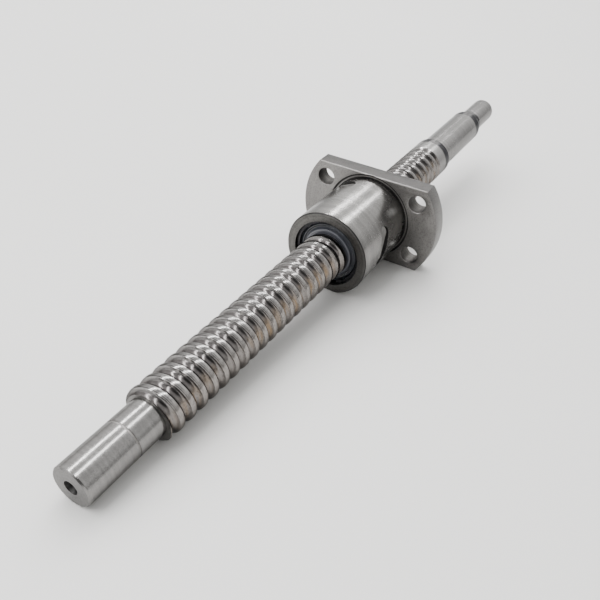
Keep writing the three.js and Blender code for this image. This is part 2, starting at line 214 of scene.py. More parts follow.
class Shader:
    """A material with a Principled shader and a few short ways to build its nodes."""

    def __init__(self, name, colour, roughness, metallic=1.0, edge=1.0):
        self.material = bpy.data.materials.new(name)
        self.material.use_nodes = True
        self.tree = self.material.node_tree
        self.surface = self.tree.nodes["Principled BSDF"]
        self.surface.inputs["Base Color"].default_value = (*colour, 1)
        self.surface.inputs["Roughness"].default_value = roughness
        self.surface.inputs["Metallic"].default_value = metallic
        # edge is the share of a metal's reflection that is left where it is seen edge on.
        self.surface.inputs["Specular Tint"].default_value = (edge, edge, edge, 1)
        self.place = self.tree.nodes.new("ShaderNodeTexCoord").outputs["Object"]

    def link(self, source, target):
        self.tree.links.new(source, target)

    def feed(self, value, socket):
        """Links another node's output to a socket, or sets the socket to a number."""
        if isinstance(value, bpy.types.NodeSocket):
            self.link(value, socket)
        else:
            socket.default_value = value

    def math(self, operation, first, second=0.0):
        node = self.tree.nodes.new("ShaderNodeMath")
        node.operation = operation
        for socket, value in zip(node.inputs, (first, second)):
            self.feed(value, socket)
        return node.outputs[0]

    def times(self, first, second):
        return self.math("MULTIPLY", first, second)

    def plus(self, first, second):
        return self.math("ADD", first, second)

    def split(self):
        node = self.tree.nodes.new("ShaderNodeSeparateXYZ")
        self.link(self.place, node.inputs[0])
        return node.outputs

    def radius(self):
        """Distance from the screw axis, in metres."""
        _, y, z = self.split()
        return self.math("SQRT", self.plus(self.times(y, y), self.times(z, z)))

    def along_helix(self):
        """Distance along X past the middle of a land, in millimetres, from 0 to one lead."""
        x, y, z = self.split()
        turn = self.math("DIVIDE", self.math("ARCTAN2", z, y), math.tau)
        leads = self.math("DIVIDE", self.math("SUBTRACT", x, LAND_X * MM), LEAD * MM)
        return self.times(self.math("FRACT", self.math("SUBTRACT", leads, turn)), LEAD)

    def vector(self, x, y, z):
        node = self.tree.nodes.new("ShaderNodeCombineXYZ")
        for socket, value in zip(node.inputs, (x, y, z)):
            self.feed(value, socket)
        return node.outputs[0]

    def scaled_place(self, x, y, z):
        node = self.tree.nodes.new("ShaderNodeMapping")
        self.link(self.place, node.inputs["Vector"])
        node.inputs["Scale"].default_value = (x, y, z)
        return node.outputs[0]

    def noise(self, vector, scale, detail, roughness=0.5):
        node = self.tree.nodes.new("ShaderNodeTexNoise")
        self.link(vector, node.inputs["Vector"])
        node.inputs["Scale"].default_value = scale
        node.inputs["Detail"].default_value = detail
        node.inputs["Roughness"].default_value = roughness
        return node.outputs["Fac"]

    def ramp(self, value, low, high, out_low=0.0, out_high=1.0):
        """value from low..high mapped to out_low..out_high, held at both ends."""
        node = self.tree.nodes.new("ShaderNodeMapRange")
        self.link(value, node.inputs["Value"])
        for name, number in zip(RANGE_SOCKETS, (low, high, out_low, out_high)):
            node.inputs[name].default_value = number
        return node.outputs[0]

    def spread(self, noise, low, high):
        """The range that a noise mostly stays in, mapped to low..high."""
        return self.ramp(noise, 0.3, 0.7, low, high)

    def mix(self, factor, first, second):
        """Blends two colours, each another node's output or an (r, g, b)."""
        node = self.tree.nodes.new("ShaderNodeMix")
        node.data_type = "RGBA"
        self.link(factor, node.inputs["Factor"])
        # A mix node's colour sockets are its seventh and eighth inputs and its third output.
        for value, socket in zip((first, second), node.inputs[6:8]):
            self.feed((*value, 1) if isinstance(value, tuple) else value, socket)
        return node.outputs[2]

    def colour(self, socket):
        self.link(socket, self.surface.inputs["Base Color"])

    def roughness(self, socket):
        self.link(socket, self.surface.inputs["Roughness"])

    def bump(self, height, strength, distance):
        node = self.tree.nodes.new("ShaderNodeBump")
        self.link(height, node.inputs["Height"])
        node.inputs["Strength"].default_value = strength
        node.inputs["Distance"].default_value = distance
        self.link(node.outputs["Normal"], self.surface.inputs["Normal"])


# ---- Materials ----

# A dark band painted at the rear end's two steps: its colour, how far its edges wander and how soft
# they are, in millimetres, how much of it is kept along the top and the bottom, thinned there as a
# painted highlight, and from where to where along Y it goes from that share to full, on either side.
DARK_BAND_COLOUR = (0.045, 0.045, 0.048)
DARK_BAND_WANDER = 0.8
DARK_BAND_START_BLUR = 0.3
DARK_BAND_END_BLUR = 0.2
DARK_BAND_UNDER_HIGHLIGHT = 0.45
DARK_BAND_HIGHLIT_TO_FULL = ((0.2, 1.4), (-1.6, -3.0))
# Where the thread's low side, painted paler and warmer as a reflection of the lit floor, begins and
# is full, in millimetres along Y, and where its rust grows towards the nut, along X.
LOW_SIDE_FROM_Y, LOW_SIDE_FULL_Y = -3.8, -6.2
RUST_FROM_X, RUST_FULL_X = -92.0, -83.0
# The wiper's lip is paler than its rim, with the change between these radii.
LIP_RADIUS, RIM_RADIUS = 7.6, 8.1


def turned_steel(name, light, dark, roughness, line_scale=900.0, edge=0.65, dark_bands=()):
    """Ground or turned steel: fine rings about the screw axis, soft smudges and a few darker specks.
    The last argument lists (from x, to x) in millimetres where a dark band is painted, thinned
    along the top and the bottom as a painted highlight."""
    speck_colour = tuple(channel * 0.5 for channel in dark)
    shader = Shader(name, light, roughness, edge=edge)
    rings = shader.noise(shader.scaled_place(line_scale, 12, 12), scale=1.0, detail=4)
    smudge = shader.noise(shader.place, scale=60, detail=3)
    specks = shader.noise(shader.place, scale=1500, detail=2, roughness=0.6)
    dirt = shader.ramp(specks, 0.64, 0.76)
    grain = shader.noise(shader.place, scale=2400, detail=2)
    lined = shader.plus(shader.times(rings, 0.4), shader.times(smudge, 0.35))
    tone = shader.plus(lined, shader.times(grain, 0.25))
    shade = shader.mix(shader.ramp(tone, 0.38, 0.62), dark, light)
    shade = shader.mix(shader.times(dirt, 0.6), shade, speck_colour)
    x, y, _ = shader.split()
    # Along the top and the bottom, where the highlight falls, only part of the band is kept: a
    # painted highlight.
    band_strength = shader.math("MAXIMUM", *(
        shader.ramp(y, highlit_y * MM, whole * MM, DARK_BAND_UNDER_HIGHLIGHT, 1.0) for highlit_y, whole in DARK_BAND_HIGHLIT_TO_FULL
    ))
    wander = shader.times(shader.math("SUBTRACT", smudge, 0.5), DARK_BAND_WANDER * MM)
    ragged = shader.plus(x, wander)
    for start, end in dark_bands:
        after = shader.ramp(ragged, (start - DARK_BAND_START_BLUR) * MM, (start + DARK_BAND_START_BLUR) * MM)
        before = shader.ramp(
            ragged, (end - DARK_BAND_END_BLUR) * MM, (end + DARK_BAND_END_BLUR) * MM, 1.0, 0.0)
        dark_band = shader.times(shader.times(after, before), band_strength)
        shade = shader.mix(dark_band, shade, DARK_BAND_COLOUR)
    shader.colour(shade)
    polish = shader.spread(smudge, roughness * 0.8, roughness * 1.25)
    shader.roughness(shader.plus(polish, shader.times(dirt, 0.12)))
    shader.bump(rings, strength=0.25, distance=0.02 * MM)
    return shader.material


def faced_steel(name, light, dark, roughness, ring_share=0.5):
    """A flat face turned in a lathe: rings in the face, round the screw axis, with smudges."""
    grain_colour = tuple(channel * 0.6 for channel in dark)
    shader = Shader(name, light, roughness, edge=0.9)
    x = shader.split()[0]
    rings_place = shader.vector(shader.times(shader.radius(), 1400), shader.times(x, 300), 0.0)
    rings = shader.noise(rings_place, scale=1.0, detail=3)
    smudge = shader.noise(shader.place, scale=90, detail=4, roughness=0.6)
    grain = shader.noise(shader.place, scale=2600, detail=2)
    ringed = shader.times(rings, ring_share)
    tone = shader.plus(ringed, shader.times(smudge, 1 - ring_share))
    shade = shader.mix(shader.ramp(tone, 0.35, 0.65), dark, light)
    shader.colour(shader.mix(shader.ramp(grain, 0.5, 0.7, 0, 0.6), shade, grain_colour))
    shader.roughness(shader.spread(smudge, roughness * 0.85, roughness * 1.2))
    shader.bump(shader.plus(ringed, shader.times(grain, 0.5)), strength=0.35, distance=0.03 * MM)
    return shader.material


def rolled_steel():
    """The thread: lined lands, grooves painted darker as shade, and low on one side a paler, warmer
    painted reflection of the floor with some rust.
    """
    light, dark, groove = (0.275, 0.267, 0.262), (0.065, 0.062, 0.061), (0.08, 0.073, 0.072)
    floor_reflection_tint, rust, grime = (0.29, 0.266, 0.248), (0.2, 0.127, 0.058), (0.06, 0.056, 0.055)
    shader = Shader("rolled_thread_steel", light, 0.16, edge=0.4)
    x, y, z = shader.split()
    groove_floor, groove_edge = (THREAD_RADIUS - 0.9) * MM, (THREAD_RADIUS - 0.1) * MM
    depth = shader.ramp(shader.radius(), groove_floor, groove_edge, 1.0, 0.0)
    clouds = shader.noise(shader.place, scale=260, detail=4, roughness=0.65)
    helix = shader.along_helix()
    lines_place = shader.vector(
        shader.times(helix, 4.0), shader.times(y, 90), shader.times(z, 90))
    lines = shader.noise(lines_place, scale=1.0, detail=2)
    shade = shader.mix(shader.ramp(lines, 0.38, 0.56), dark, light)
    # The deeper in a groove, the darker the colour: painted shade.
    shade = shader.mix(shader.times(depth, 0.8), shade, groove)
    # The low side is painted paler and warmer, grooves too: a painted reflection of the lit floor.
    low_side = shader.ramp(y, LOW_SIDE_FROM_Y * MM, LOW_SIDE_FULL_Y * MM)
    shade = shader.mix(shader.times(low_side, 0.65), shade, floor_reflection_tint)
    streaks_place = shader.vector(
        shader.plus(helix, shader.times(x, 260)), shader.times(y, 150), shader.times(z, 150))
    streaks = shader.ramp(shader.noise(streaks_place, scale=1.0, detail=2), 0.44, 0.56)
    blotches = shader.ramp(shader.noise(shader.place, scale=75, detail=1), 0.4, 0.56)
    patches = shader.times(streaks, blotches)
    growth = shader.ramp(x, RUST_FROM_X * MM, RUST_FULL_X * MM, 0.2, 0.85)
    rusted = shader.times(shader.times(depth, patches), shader.times(low_side, growth))
    shade = shader.mix(rusted, shade, rust)
    fine = shader.noise(shader.place, scale=2200, detail=3)
    shader.colour(shader.mix(shader.ramp(fine, 0.5, 0.68, 0.0, 0.45), shade, grime))
    polish = shader.spread(clouds, 0.15, 0.24)
    shader.roughness(shader.plus(polish, shader.times(rusted, 0.2)))
    height = shader.plus(shader.times(lines, 0.8), shader.times(fine, 0.3))
    shader.bump(height, strength=0.25, distance=0.04 * MM)
    return shader.material


def wiper_plastic():
    """Slate-coloured moulded plastic, dark at the rim, paler at the lip, with a film of grease."""
    shader = Shader("wiper_plastic", (0.02, 0.024, 0.03), 0.35, metallic=0.0)
    film = shader.noise(shader.place, scale=250, detail=2)
    wet = shader.ramp(film, 0.4, 0.65)
    rim = shader.mix(wet, (0.014, 0.017, 0.022), (0.026, 0.03, 0.038))
    radius = shader.radius()
    # Fine light rings are painted on the lip for the glints of its small ridges: painted highlights.
    ridges_place = shader.vector(shader.times(radius, 2600), 0.0, 0.0)
    lip_ring_glints = shader.noise(ridges_place, scale=1.0, detail=1)
    lip = shader.mix(shader.ramp(lip_ring_glints, 0.42, 0.58), (0.03, 0.032, 0.04), (0.085, 0.088, 0.104))
    on_lip = shader.ramp(radius, LIP_RADIUS * MM, RIM_RADIUS * MM, 1.0, 0.0)
    shader.colour(shader.mix(on_lip, rim, lip))
    shader.roughness(shader.spread(film, 0.28, 0.4))
    fine = shader.noise(shader.place, scale=1600, detail=3)
    shader.bump(fine, strength=0.1, distance=0.02 * MM)
    shader.surface.inputs["Coat Weight"].default_value = 0.3
    shader.surface.inputs["Coat Roughness"].default_value = 0.2
    return shader.material


def spring_steel():
    """Dark phosphated spring steel."""
    shader = Shader("phosphated_spring_steel", (0.05, 0.05, 0.055), 0.4)
    grain = shader.noise(shader.place, scale=1400, detail=4, roughness=0.65)
    wear = shader.noise(shader.place, scale=240, detail=3)
    coating = shader.ramp(grain, 0.35, 0.65)
    shade = shader.mix(coating, (0.016, 0.016, 0.018), (0.045, 0.044, 0.047))
    shader.colour(shader.mix(shader.ramp(wear, 0.6, 0.75, 0, 0.4), shade, (0.12, 0.116, 0.112)))
    shader.roughness(shader.spread(grain, 0.3, 0.5))
    shader.bump(grain, strength=0.3, distance=0.03 * MM)
    return shader.material


def sintered_steel():
    """The deflectors: slightly porous steel, duller than the nut."""
    shader = Shader("sintered_steel", (0.3, 0.29, 0.28), 0.35)
    pores = shader.noise(shader.place, scale=2200, detail=3, roughness=0.6)
    smudge = shader.ramp(shader.noise(shader.place, scale=180, detail=3), 0.35, 0.65)
    shade = shader.mix(smudge, (0.145, 0.142, 0.137), (0.22, 0.216, 0.209))
    shader.colour(shader.mix(shader.ramp(pores, 0.62, 0.75, 0, 0.6), shade, (0.06, 0.06, 0.06)))
    shader.roughness(shader.spread(pores, 0.42, 0.58))
    shader.bump(pores, strength=0.3, distance=0.04 * MM)
    return shader.material


def ball_steel():
    """Polished bearing balls with the faintest marks of running."""
    shader = Shader("ball_steel", (0.75, 0.75, 0.76), 0.06)
    marks = shader.noise(shader.place, scale=900, detail=3)
    shader.colour(shader.mix(shader.ramp(marks, 0.4, 0.6), (0.68, 0.68, 0.69), (0.8, 0.8, 0.81)))
    shader.roughness(shader.spread(marks, 0.05, 0.12))
    shader.bump(marks, strength=0.05, distance=0.01 * MM)
    return shader.material


def recess_shade_steel():
    """Nearly black steel with turning marks: painted shade down in the drilled centres and in the
    nut's recesses.
    """
    shader = Shader("recess_shade_steel", (0.16, 0.15, 0.15), 0.5)
    marks = shader.noise(shader.scaled_place(2500, 60, 60), scale=1.0, detail=3)
    shader.colour(shader.mix(marks, (0.014, 0.014, 0.014), (0.05, 0.048, 0.047)))
    shader.roughness(shader.spread(marks, 0.4, 0.6))
    shader.bump(marks, strength=0.3, distance=0.03 * MM)
    return shader.material


# ---- Screw ----

# The places of the screw's materials in its list.
JOURNAL_STEEL, ROLLED_STEEL, FACED_STEEL, HOLE_SHADE, SHOULDER_STEEL, SEAT_STEEL = range(6)


def thread_profile():
    """One lead of thread from the middle of a land, as (x, radius): half a land, a round groove
    and half a land."""
    arc_steps = 14
    above_edge = BALL_CIRCLE_RADIUS - THREAD_RADIUS
    half_land = LEAD / 2 - math.sqrt(GROOVE_RADIUS ** 2 - above_edge ** 2)
    edge = math.acos(above_edge / GROOVE_RADIUS)
    flat = half_land * 0.5
    points = [Vector((0.0, THREAD_RADIUS)), Vector((flat, THREAD_RADIUS))]
    for step in range(arc_steps + 1):
        angle = edge * (2 * step / arc_steps - 1)
        x = LEAD / 2 + GROOVE_RADIUS * math.sin(angle)
        radius = BALL_CIRCLE_RADIUS - GROOVE_RADIUS * math.cos(angle)
        # The lands are rounded over where they meet the groove.
        near_edge = max(0.0, 1 - (THREAD_RADIUS - radius) / LAND_ROUNDING)
        points.append(Vector((x, radius - LAND_EDGE_DROP * near_edge ** 2)))
    points.append(Vector((LEAD - flat, THREAD_RADIUS)))
    return points


def thread_radius_at(x, radius):
    """The profile's radius, chamfered at the start of the thread and faded out at its end."""
    chamfered = min(radius, THREAD_RADIUS - THREAD_START_CHAMFER + max(0.0, x - THREAD_START_X))
    fade = min(1.0, max(0.0, (THREAD_END_X - x) / THREAD_RUNOUT))
    fade = fade * fade * (3 - 2 * fade)
    return THREAD_RADIUS - (THREAD_RADIUS - chamfered) * fade


def add_thread(bm):
    """Adds the thread, cut square at both ends, and its shoulder down to the front journal."""
    profile = thread_profile()
    per_lead = len(profile)
    first = LAND_X + LEAD * (math.floor((THREAD_START_X - LAND_X) / LEAD) - 1)
    rows = per_lead * (math.ceil((THREAD_END_X - first) / LEAD) + 1)
    columns = []
    for column in range(THREAD_STEPS):
        turn = column / THREAD_STEPS
        angle = math.tau * turn
        count = rows + (per_lead if column == 0 else 0)
        verts = []
        for row in range(count + 1):
            offset, radius = profile[row % per_lead]
            x = first + LEAD * (row // per_lead + turn) + offset
            verts.append(bm.verts.new(around_x(x, thread_radius_at(x, radius), angle)))
        columns.append(verts)
    columns.append(columns[0][per_lead:])
    for left, right in zip(columns, columns[1:]):
        for row in range(rows):
            face = bm.faces.new((left[row], left[row + 1], right[row + 1], right[row]))
            face.material_index = ROLLED_STEEL
    for x, outwards in ((THREAD_START_X, -1), (THREAD_END_X, 1)):
        bmesh.ops.bisect_plane(
            bm,
            geom=bm.verts[:] + bm.edges[:] + bm.faces[:],
            plane_co=(x * MM, 0, 0),
            plane_no=(outwards, 0, 0),
            clear_outer=True,
        )
    rim = [
        edge for edge in bm.edges
        if edge.is_boundary
        and max(abs(vert.co.x - THREAD_START_X * MM) for vert in edge.verts) < FINE_WELD
    ]
    for item in bmesh.ops.extrude_edge_only(bm, edges=rim)["geom"]:
        if isinstance(item, bmesh.types.BMVert):
            angle = math.atan2(item.co.z, item.co.y)
            item.co = around_x(THREAD_START_X, FRONT_JOURNAL_RADIUS - HIDDEN_OVERLAP, angle)
        elif isinstance(item, bmesh.types.BMFace):
            item.material_index = SHOULDER_STEEL


def centre_hole(end_x, into):
    """The corners of a drilled centre, from its floor on the axis out to its rim."""
    return [
        (end_x + into * CENTRE_HOLE_DEPTH, 0.0),
        (end_x + into * (CENTRE_HOLE_DEPTH - CENTRE_PILOT_RADIUS / 2), CENTRE_PILOT_RADIUS),
        (end_x + into * CENTRE_CONE_DEPTH, CENTRE_PILOT_RADIUS),
        (end_x, CENTRE_HOLE_RADIUS),
    ]


def make_screw(journal, rolled, faced, hole, shoulder, seat):
    """The whole screw in one piece: thread, journals, land, seat and drilled centres."""
    bm = bmesh.new()
    add_thread(bm)
    groove_from = RING_GROOVE_X - RING_GROOVE_WIDTH / 2
    groove_to = RING_GROOVE_X + RING_GROOVE_WIDTH / 2
    front = rounded([
        (-SHAFT_END_X, FRONT_JOURNAL_RADIUS - END_CHAMFER),
        (-SHAFT_END_X + END_CHAMFER, FRONT_JOURNAL_RADIUS),
        (groove_from, FRONT_JOURNAL_RADIUS),
        (groove_from, FRONT_JOURNAL_RADIUS - RING_GROOVE_DEPTH),
        (groove_to, FRONT_JOURNAL_RADIUS - RING_GROOVE_DEPTH),
        (groove_to, FRONT_JOURNAL_RADIUS),
        (THREAD_START_X + HIDDEN_OVERLAP, FRONT_JOURNAL_RADIUS),
    ], radius=0.1)
    add_turned(bm, front, JOURNAL_STEEL)
    # The land starts a hair under the thread, so that the two surfaces don't lie in one place.
    under_thread = THREAD_RADIUS - 0.01
    rear = rounded([
        (THREAD_END_X - HIDDEN_OVERLAP, under_thread),
        (LAND_END_X, THREAD_RADIUS),
        (REAR_SEAT_X, REAR_SEAT_RADIUS),
        (REAR_SEAT_END_X, REAR_SEAT_RADIUS),
        (DRIVE_END_X, DRIVE_END_RADIUS),
        (SHAFT_END_X - END_CHAMFER, DRIVE_END_RADIUS),
        (SHAFT_END_X, DRIVE_END_RADIUS - END_CHAMFER),
    ], radius=0.2)
    add_turned(bm, rear, SEAT_STEEL)
    for end_x, into, rim in (
        (-SHAFT_END_X, 1, FRONT_JOURNAL_RADIUS - END_CHAMFER),
        (SHAFT_END_X, -1, DRIVE_END_RADIUS - END_CHAMFER),
    ):
        radii = (rim, (rim + CENTRE_HOLE_RADIUS) / 2, CENTRE_HOLE_RADIUS)
        add_turned(bm, [(end_x, radius) for radius in radii], FACED_STEEL)
        # The drilled centres are painted nearly black: painted shade.
        add_turned(bm, centre_hole(end_x, into), HOLE_SHADE)
    bmesh.ops.remove_doubles(bm, verts=bm.verts, dist=WELD)
    for face in bm.faces:
        middle = face.calc_center_median() / MM
        depth = FRONT_JOURNAL_RADIUS - math.hypot(middle.y, middle.z)
        if groove_from < middle.x < groove_to and depth > RING_GROOVE_DEPTH / 2:
            face.material_index = SHOULDER_STEEL
    materials = [journal, rolled, faced, hole, shoulder, seat]
    return finished_object("screw", bm, materials, "screw", ["screw_shaft"])


# ---- Nut ----

# The places of the nut's materials in its list.
GROUND_STEEL, RIM_STEEL, FACE_STEEL, FLANGE_STEEL, RECESS_SHADE, BOLT_HOLE_SHADE, FLAT_STEEL = range(7)


def wiper_seat(face_x, into):
    """The corners of a wiper seat and its snap-ring groove, from the bore out to the face."""
    groove_from = face_x + into * SNAP_GROOVE_INSET
    groove_to = groove_from + into * SNAP_GROOVE_WIDTH
    return [
        (face_x + into * WIPER_SEAT_DEPTH, NUT_BORE_RADIUS),
        (face_x + into * WIPER_SEAT_DEPTH, WIPER_SEAT_RADIUS),
        (groove_to, WIPER_SEAT_RADIUS),
        (groove_to, SNAP_GROOVE_RADIUS),
        (groove_from, SNAP_GROOVE_RADIUS),
        (groove_from, WIPER_SEAT_RADIUS),
        (face_x, WIPER_SEAT_RADIUS),
    ]


BOLT_HOLES = [
    (
        across * BOLT_CIRCLE_RADIUS * math.cos(BOLT_ANGLE),
        up * BOLT_CIRCLE_RADIUS * math.sin(BOLT_ANGLE),
    )
    for across in (-1, 1)
    for up in (-1, 1)
]


def flange_curve():
    """The flange as a filled 2-D curve, drawn in the YZ plane, with rounded edges and its holes."""
    bevel = 0.3
    half_arc_steps, eye_steps, hole_steps = 24, 96, 48
    curve = bpy.data.curves.new("flange_outline", "CURVE")
    curve.dimensions = "2D"
    curve.fill_mode = "BOTH"
    curve.extrude = ((NUT_REAR_X - FLANGE_FRONT_X) / 2 - bevel) * MM
    curve.bevel_depth = bevel * MM
    curve.bevel_resolution = 2
    curve.offset = -bevel * MM

    def loop(points):
        spline = curve.splines.new("POLY")
        spline.points.add(len(points) - 1)
        for point, (y, z) in zip(spline.points, points):
            point.co = (y * MM, z * MM, 0, 1)
        spline.use_cyclic_u = True

    corner = math.asin(FLANGE_HALF_FLATS / FLANGE_RADIUS)
    sides = []
    for middle in (0, math.pi):
        for step in range(2 * half_arc_steps + 1):
            angle = middle + corner * (step / half_arc_steps - 1)
            sides.append((FLANGE_RADIUS * math.cos(angle), FLANGE_RADIUS * math.sin(angle)))
    loop(sides)

    def circle(y, z, radius, steps):
        angles = [math.tau * i / steps for i in range(steps)]
        loop([(y + radius * math.cos(angle), z + radius * math.sin(angle)) for angle in angles])

    circle(0, 0, FLANGE_EYE_RADIUS, eye_steps)
    for y, z in BOLT_HOLES:
        circle(y, z, BOLT_HOLE_RADIUS, hole_steps)
    return curve


def make_flange_plate(materials):
    """The flange plate with the shallow ring that is turned into its face round the nut."""
    holder = bpy.data.objects.new("flange_outline", flange_curve())
    bpy.context.scene.collection.objects.link(holder)
    mesh = holder.evaluated_get(bpy.context.evaluated_depsgraph_get()).to_mesh()
    plate = bmesh.new()
    plate.from_mesh(mesh)
    bmesh.ops.remove_doubles(plate, verts=plate.verts, dist=FINE_WELD)
    axes = Matrix(((0, 0, 1), (1, 0, 0), (0, 1, 0))).to_4x4()
    centre = Vector(((FLANGE_FRONT_X + NUT_REAR_X) / 2 * MM, 0, 0))
    bmesh.ops.transform(plate, matrix=Matrix.Translation(centre) @ axes, verts=plate.verts)
    for face in plate.faces:
        middle = face.calc_center_median() / MM
        off_axis = min(math.hypot(middle.y - y, middle.z - z) for y, z in BOLT_HOLES)
        # The bolt holes' walls take a darker steel: painted shade.
        if off_axis < BOLT_HOLE_RADIUS + NEAR:
            face.material_index = BOLT_HOLE_SHADE
        elif abs(middle.z) > FLANGE_HALF_FLATS - 0.02:
            face.material_index = FLAT_STEEL
        elif math.hypot(middle.y, middle.z) > FLANGE_RADIUS - 0.1:
            face.material_index = RIM_STEEL
        else:
            face.material_index = FLANGE_STEEL
    bpy.data.objects.remove(holder)
    flange = finished_object("flange_plate", plate, materials)
    recess = bmesh.new()
    outside_x = FLANGE_FRONT_X - 1
    floor_x = FLANGE_FRONT_X + RELIEF_FACE_DEPTH
    under_nut = FLANGE_EYE_RADIUS - 1
    add_turned(recess, [
        (outside_x, under_nut),
        (outside_x, RELIEF_FACE_RADIUS),
        (floor_x, RELIEF_FACE_RADIUS),
        (floor_x, RECESS_RING_OUTER),
        (floor_x, RECESS_RING_INNER),
        (floor_x, under_nut),
    ], RECESS_SHADE, closed=True)
    # The recess's wall and floor are painted nearly black as shade; one brighter ring in its floor
    # keeps the flange's steel.
    for face in recess.faces:
        middle = face.calc_center_median() / MM
        on_ring = RECESS_RING_INNER - 0.01 < math.hypot(middle.y, middle.z) < RECESS_RING_OUTER
        if on_ring and middle.x > FLANGE_FRONT_X:
            face.material_index = FLANGE_STEEL
    cut(flange, recess)
    return flange


def pocket_matrix(circuit):
    """Places a shape drawn along X, across Y and outwards Z over a circuit's crossing."""
    angle = CIRCUIT_ANGLES[circuit]
    outwards = Vector((0, math.cos(angle), math.sin(angle)))
    along = Vector((0, -math.sin(angle), math.cos(angle))) * math.cos(POCKET_SLANT)
    along.x = -math.sin(POCKET_SLANT)
    across = outwards.cross(along)
    place = Matrix((along, across, outwards)).transposed().to_4x4()
    place.translation = Vector((FIRST_CIRCUIT_X + circuit * CIRCUIT_STEP, 0, 0)) * MM
    return place


def obround(half_width, half_length):
    """The outline of a slot that is round at both ends, drawn along X."""
    steps = 14
    straight = half_length - half_width
    points = []
    for centre, start in ((straight, -math.pi / 2), (-straight, math.pi / 2)):
        for step in range(steps + 1):
            angle = start + math.pi * step / steps
            points.append((centre + half_width * math.cos(angle), half_width * math.sin(angle)))
    return points


def prism(outline, low, high, matrix):
    """A closed prism of an outline, as a mesh, from low to high in millimetres."""
    bm = bmesh.new()
    bottom = [bm.verts.new(Vector((x, y, low)) * MM) for x, y in outline]
    top = [bm.verts.new(Vector((x, y, high)) * MM) for x, y in outline]
    bm.faces.new(bottom)
    bm.faces.new(top)
    for i in range(len(outline)):
        j = (i + 1) % len(outline)
        bm.faces.new((bottom[i], bottom[j], top[j], top[i]))
    bmesh.ops.recalc_face_normals(bm, faces=bm.faces)
    bmesh.ops.transform(bm, matrix=matrix, verts=bm.verts)
    return bm


def cut(body, cutter_bm):
    """Takes a closed bmesh away from an object's mesh."""
    bmesh.ops.recalc_face_normals(cutter_bm, faces=cutter_bm.faces)
    mesh = bpy.data.meshes.new("cutter")
    cutter_bm.to_mesh(mesh)
    cutter_bm.free()
    for material in body.data.materials:
        mesh.materials.append(material)
    cutter = bpy.data.objects.new("cutter", mesh)
    bpy.context.scene.collection.objects.link(cutter)
    modifier = body.modifiers.new("cut", "BOOLEAN")
    modifier.operation = "DIFFERENCE"
    modifier.object = cutter
    modifier.solver = "EXACT"
    done = bpy.data.meshes.new_from_object(body.evaluated_get(bpy.context.evaluated_depsgraph_get()))
    body.modifiers.clear()
    body.data = done
    bpy.data.objects.remove(cutter)


def pocket_cutter(circuit):
    """A block that cuts a deflector's slot through the nut's wall, its faces leaving the slot's walls
    painted nearly black as shade.
    """
    outline = obround(POCKET_HALF_WIDTH, POCKET_HALF_LENGTH)
    block = prism(outline, BALL_CIRCLE_RADIUS - 1, NUT_RADIUS + 1, pocket_matrix(circuit))
    for face in block.faces:
        face.material_index = RECESS_SHADE
    return block


def make_nut(ground, faced, front_face, flange_steel, dark, bolt_hole_shade, flats):
    """The nut's body with its flange, its wiper seats and the slots of its deflectors."""
    materials = [ground, faced, front_face, flange_steel, dark, bolt_hole_shade, flats]
    relief_from = FLANGE_FRONT_X - RELIEF_WIDTH
    bm = bmesh.new()
    outside = [
        *wiper_seat(NUT_FRONT_X, 1),
        (NUT_FRONT_X, NUT_RADIUS - NUT_CHAMFER),
        (NUT_FRONT_X + NUT_CHAMFER, NUT_RADIUS),
        (relief_from, NUT_RADIUS),
        (relief_from + RELIEF_SLOPE, RELIEF_RADIUS),
        (NUT_REAR_X - NUT_REAR_CHAMFER_LENGTH, RELIEF_RADIUS),
        (NUT_REAR_X, RELIEF_RADIUS - NUT_REAR_CHAMFER_DEPTH),
        *reversed(wiper_seat(NUT_REAR_X, -1)),
    ]
    add_turned(bm, rounded(outside, 0.12, closed=True), GROUND_STEEL, steps=NUT_STEPS, closed=True)
    bmesh.ops.recalc_face_normals(bm, faces=bm.faces)
    for face in bm.faces:
        middle = face.calc_center_median() / MM
        radius = math.hypot(middle.y, middle.z)
        behind_front = middle.x - NUT_FRONT_X
        in_relief = relief_from + NEAR < middle.x < FLANGE_FRONT_X and radius > RELIEF_RADIUS - 0.3
        on_chamfer = 0.03 < behind_front < NUT_CHAMFER - 0.01 and radius > NUT_RADIUS - 0.4
        in_seat = NUT_BORE_RADIUS + 0.2 < radius < SNAP_GROOVE_RADIUS + 0.1
        at_either_end = behind_front < NEAR or middle.x > NUT_REAR_X - NEAR
        # The relief under the flange, the front chamfer and the wiper seats are painted nearly black:
        # painted shade.
        if in_relief or on_chamfer or in_seat:
            face.material_index = RECESS_SHADE
        elif abs(face.normal.x) > 0.9 and at_either_end:
            face.material_index = FACE_STEEL
    body = finished_object("nut_blank", bm, materials)
    for circuit in range(len(CIRCUIT_ANGLES)):
        cut(body, pocket_cutter(circuit))
    flange = make_flange_plate(materials)
    bm = bmesh.new()
    bm.from_mesh(body.data)
    bm.from_mesh(flange.data)
    bpy.data.objects.remove(body)
    bpy.data.objects.remove(flange)
    return finished_object("nut", bm, materials, "nut", ["nut_body"])


